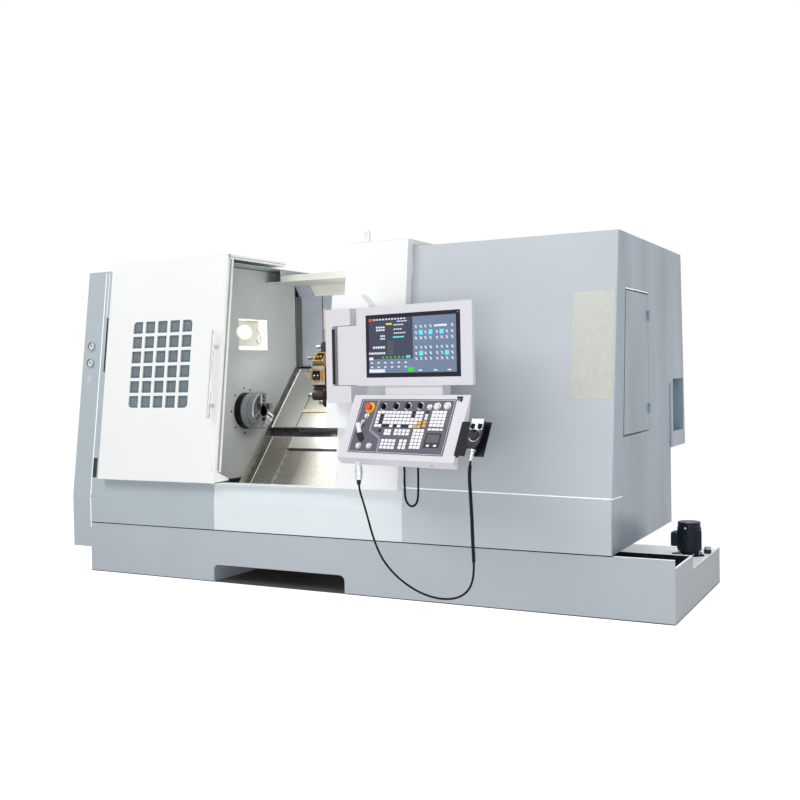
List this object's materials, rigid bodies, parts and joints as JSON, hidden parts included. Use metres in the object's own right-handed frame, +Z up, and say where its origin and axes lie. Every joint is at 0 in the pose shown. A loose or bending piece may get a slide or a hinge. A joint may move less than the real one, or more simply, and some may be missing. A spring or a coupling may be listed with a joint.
{
  "type": "cnc turning lathe",
  "caption": "Slant-bed turning lathe with power chuck, disc turret, tailstock, sliding front door and a swinging control pendant over a tray base.",
  "frame": {"origin": "on the floor straight below the spindle nose", "axes": "+X along the spindle towards the tailstock, -Y the operator's side, +Z up"},
  "size_m": [4, 2.3356, 2.118],
  "materials": {
    "grey_paint": "satin powder coat",
    "base_paint": "satin",
    "pale_paint": "satin powder coat",
    "white_paint": "satin powder coat",
    "interior_paint": "satin",
    "blue_paint": "satin",
    "casting": "painted casting",
    "brushed": "brushed",
    "bright_steel": "bright",
    "black_steel": "satin",
    "holder_metal": "oiled",
    "lamp": "gloss",
    "pump_paint": "satin",
    "lilac_paint": "fine texture",
    "screen": "gloss",
    "overlay": "matt film",
    "pane": "clear",
    "black_plastic": "matt",
    "button_white": "gloss",
    "red_plastic": "gloss",
    "needle_black": "matt",
    "cord_rubber": "matt"
  },
  "bodies": {
    "machine": {"base_tray": "base_paint", "coolant_pump": "pump_paint", "bed_casting": "casting", "headstock_casting": "casting", "headstock_wall": "interior_paint", "work_lamp": "lamp", "bed_covers": "brushed", "headstock_cover": "grey_paint", "left_end_cover": "grey_paint", "apron_panel": "pale_paint", "right_front_panel": "white_paint", "arm_bracket": "lilac_paint", "cabinet_cover": "grey_paint", "end_panel": "grey_paint", "rear_cover": "grey_paint", "roof_cover": "interior_paint", "back_wall": "blue_paint"},
    "front_door": {"door_panel": "white_paint", "door_window": "pane", "door_handle": "bright_steel"},
    "spindle": {"spindle_shaft": "bright_steel", "chuck_adapter": "black_steel", "chuck_body": "bright_steel"},
    "carriage": {"saddle": "casting", "sliding_way_cover": "brushed"},
    "cross_slide": {"turret_housing": "casting"},
    "turret": {"tool_disc": "bright_steel", "tool_holders": "holder_metal"},
    "tailstock": {"tailstock_body": "casting"},
    "quill": {"tailstock_quill": "bright_steel"},
    "pendant": {"monitor_case": "lilac_paint", "monitor_screen": "screen", "control_box": "lilac_paint", "keypad": "overlay", "mpg_shelf": "black_steel", "mpg_handset": "black_plastic", "mpg_cord": "cord_rubber", "loop_cord": "cord_rubber"},
    "side_door": {"access_door": "grey_paint"},
    "stop_button": {"e_stop": "red_plastic"},
    "key": {"key_switch": "black_plastic"},
    "handwheel": {"mpg_dial": "black_plastic"},
    "jaw_body_1": {"jaw_1": "bright_steel"},
    "jaw_body_2": {"jaw_2": "bright_steel"},
    "jaw_body_3": {"jaw_3": "bright_steel"},
    "knob_1": {"override_knob_1": "black_plastic"},
    "knob_2": {"override_knob_2": "black_plastic"},
    "knob_3": {"override_knob_3": "black_plastic"},
    "knob_4": {"override_knob_4": "black_plastic"},
    "button_1": {"push_button_1": "button_white"},
    "button_2": {"push_button_2": "button_white"},
    "button_3": {"push_button_3": "button_white"},
    "button_4": {"push_button_4": "button_white"},
    "button_5": {"push_button_5": "button_white"},
    "button_6": {"push_button_6": "button_white"},
    "selector_1": {"mpg_knob_1": "black_plastic"},
    "selector_2": {"mpg_knob_2": "black_plastic"},
    "needle_1": {"gauge_needle_1": "needle_black"},
    "needle_2": {"gauge_needle_2": "needle_black"}
  },
  "joints": [
    {"name": "door_slide", "type": "slide", "parent": "machine", "child": "front_door", "axis": [1, 0, 0], "range_m": [0, 0.861]},
    {"name": "spindle_turn", "type": "hinge", "parent": "machine", "child": "spindle", "pos_m": [0, 0, 1.042], "axis": [1, 0, 0], "continuous": true},
    {"name": "jaw_slide_1", "type": "slide", "parent": "spindle", "child": "jaw_body_1", "axis": [0, 0, 1], "range_m": [-0.005, 0.003]},
    {"name": "jaw_slide_2", "type": "slide", "parent": "spindle", "child": "jaw_body_2", "axis": [0, -0.866, -0.5], "range_m": [-0.005, 0.003]},
    {"name": "jaw_slide_3", "type": "slide", "parent": "spindle", "child": "jaw_body_3", "axis": [0, 0.866, -0.5], "range_m": [-0.005, 0.003]},
    {"name": "saddle_slide", "type": "slide", "parent": "machine", "child": "carriage", "axis": [1, 0, 0], "range_m": [-0.2, 0.6]},
    {"name": "cross_slide_move", "type": "slide", "parent": "carriage", "child": "cross_slide", "axis": [0, 0.682, 0.7314], "range_m": [-0.08, 0.05]},
    {"name": "turret_turn", "type": "hinge", "parent": "cross_slide", "child": "turret", "pos_m": [0.49, 0.21551, 1.27311], "axis": [1, 0, 0], "continuous": true},
    {"name": "tailstock_slide", "type": "slide", "parent": "machine", "child": "tailstock", "axis": [1, 0, 0], "range_m": [-0.6, 0.06]},
    {"name": "quill_slide", "type": "slide", "parent": "tailstock", "child": "quill", "axis": [1, 0, 0], "range_m": [-0.12, 0]},
    {"name": "pendant_swing", "type": "hinge", "parent": "machine", "child": "pendant", "pos_m": [1.17211, -0.63802, 1.112], "axis": [0, 0, 1], "range_deg": [-75, 12]},
    {"name": "side_door_swing", "type": "hinge", "parent": "machine", "child": "side_door", "pos_m": [2.647, 0.2645, 0.924], "axis": [0, 0, 1], "range_deg": [0, 110]},
    {"name": "stop_press", "type": "slide", "parent": "pendant", "child": "stop_button", "axis": [0.209, 0.8841, -0.4179], "range_m": [0, 0.004], "stiffness_N_per_m": 900},
    {"name": "knob_turn_1", "type": "hinge", "parent": "pendant", "child": "knob_1", "pos_m": [1.50361, -0.81795, 1.09401], "axis": [-0.209, -0.8841, 0.4179], "range_deg": [-135, 135]},
    {"name": "knob_turn_2", "type": "hinge", "parent": "pendant", "child": "knob_2", "pos_m": [1.58847, -0.83715, 1.09583], "axis": [-0.209, -0.8841, 0.4179], "range_deg": [-135, 135]},
    {"name": "knob_turn_3", "type": "hinge", "parent": "pendant", "child": "knob_3", "pos_m": [1.66739, -0.85537, 1.09674], "axis": [-0.209, -0.8841, 0.4179], "range_deg": [-135, 135]},
    {"name": "knob_turn_4", "type": "hinge", "parent": "pendant", "child": "knob_4", "pos_m": [1.74845, -0.87325, 1.09946], "axis": [-0.209, -0.8841, 0.4179], "range_deg": [-135, 135]},
    {"name": "button_press_1", "type": "slide", "parent": "pendant", "child": "button_1", "axis": [0.209, 0.8841, -0.4179], "range_m": [0, 0.003], "stiffness_N_per_m": 500},
    {"name": "button_press_2", "type": "slide", "parent": "pendant", "child": "button_2", "axis": [0.209, 0.8841, -0.4179], "range_m": [0, 0.003], "stiffness_N_per_m": 500},
    {"name": "button_press_3", "type": "slide", "parent": "pendant", "child": "button_3", "axis": [0.209, 0.8841, -0.4179], "range_m": [0, 0.003], "stiffness_N_per_m": 500},
    {"name": "button_press_4", "type": "slide", "parent": "pendant", "child": "button_4", "axis": [0.209, 0.8841, -0.4179], "range_m": [0, 0.003], "stiffness_N_per_m": 500},
    {"name": "button_press_5", "type": "slide", "parent": "pendant", "child": "button_5", "axis": [0.209, 0.8841, -0.4179], "range_m": [0, 0.003], "stiffness_N_per_m": 500},
    {"name": "button_press_6", "type": "slide", "parent": "pendant", "child": "button_6", "axis": [0.209, 0.8841, -0.4179], "range_m": [0, 0.003], "stiffness_N_per_m": 500},
    {"name": "key_turn", "type": "hinge", "parent": "pendant", "child": "key", "pos_m": [1.38314, -0.82768, 1.01316], "axis": [-0.209, -0.8841, 0.4179], "range_deg": [0, 90]},
    {"name": "handwheel_turn", "type": "hinge", "parent": "pendant", "child": "handwheel", "pos_m": [2.13633, -1.08418, 0.96682], "axis": [-0.209, -0.8841, 0.4179], "continuous": true},
    {"name": "selector_turn_1", "type": "hinge", "parent": "pendant", "child": "selector_1", "pos_m": [2.11934, -1.06041, 1.00861], "axis": [-0.209, -0.8841, 0.4179], "range_deg": [-60, 60]},
    {"name": "selector_turn_2", "type": "hinge", "parent": "pendant", "child": "selector_2", "pos_m": [2.16119, -1.07031, 1.00861], "axis": [-0.209, -0.8841, 0.4179], "range_deg": [-60, 60]},
    {"name": "needle_turn_1", "type": "hinge", "parent": "machine", "child": "needle_1", "pos_m": [-0.974, -0.38315, 1.492], "axis": [0, -0.9906, 0.1365], "range_deg": [-270, 0], "stiffness_Nm_per_rad": 0.02},
    {"name": "needle_turn_2", "type": "hinge", "parent": "machine", "child": "needle_2", "pos_m": [-0.974, -0.39858, 1.38], "axis": [0, -0.9906, 0.1365], "range_deg": [-270, 0], "stiffness_Nm_per_rad": 0.02}
  ],
  "couplings": [
    {"joint": "jaw_slide_2", "follows": "jaw_slide_1", "ratio": 1},
    {"joint": "jaw_slide_3", "follows": "jaw_slide_1", "ratio": 1}
  ]
}
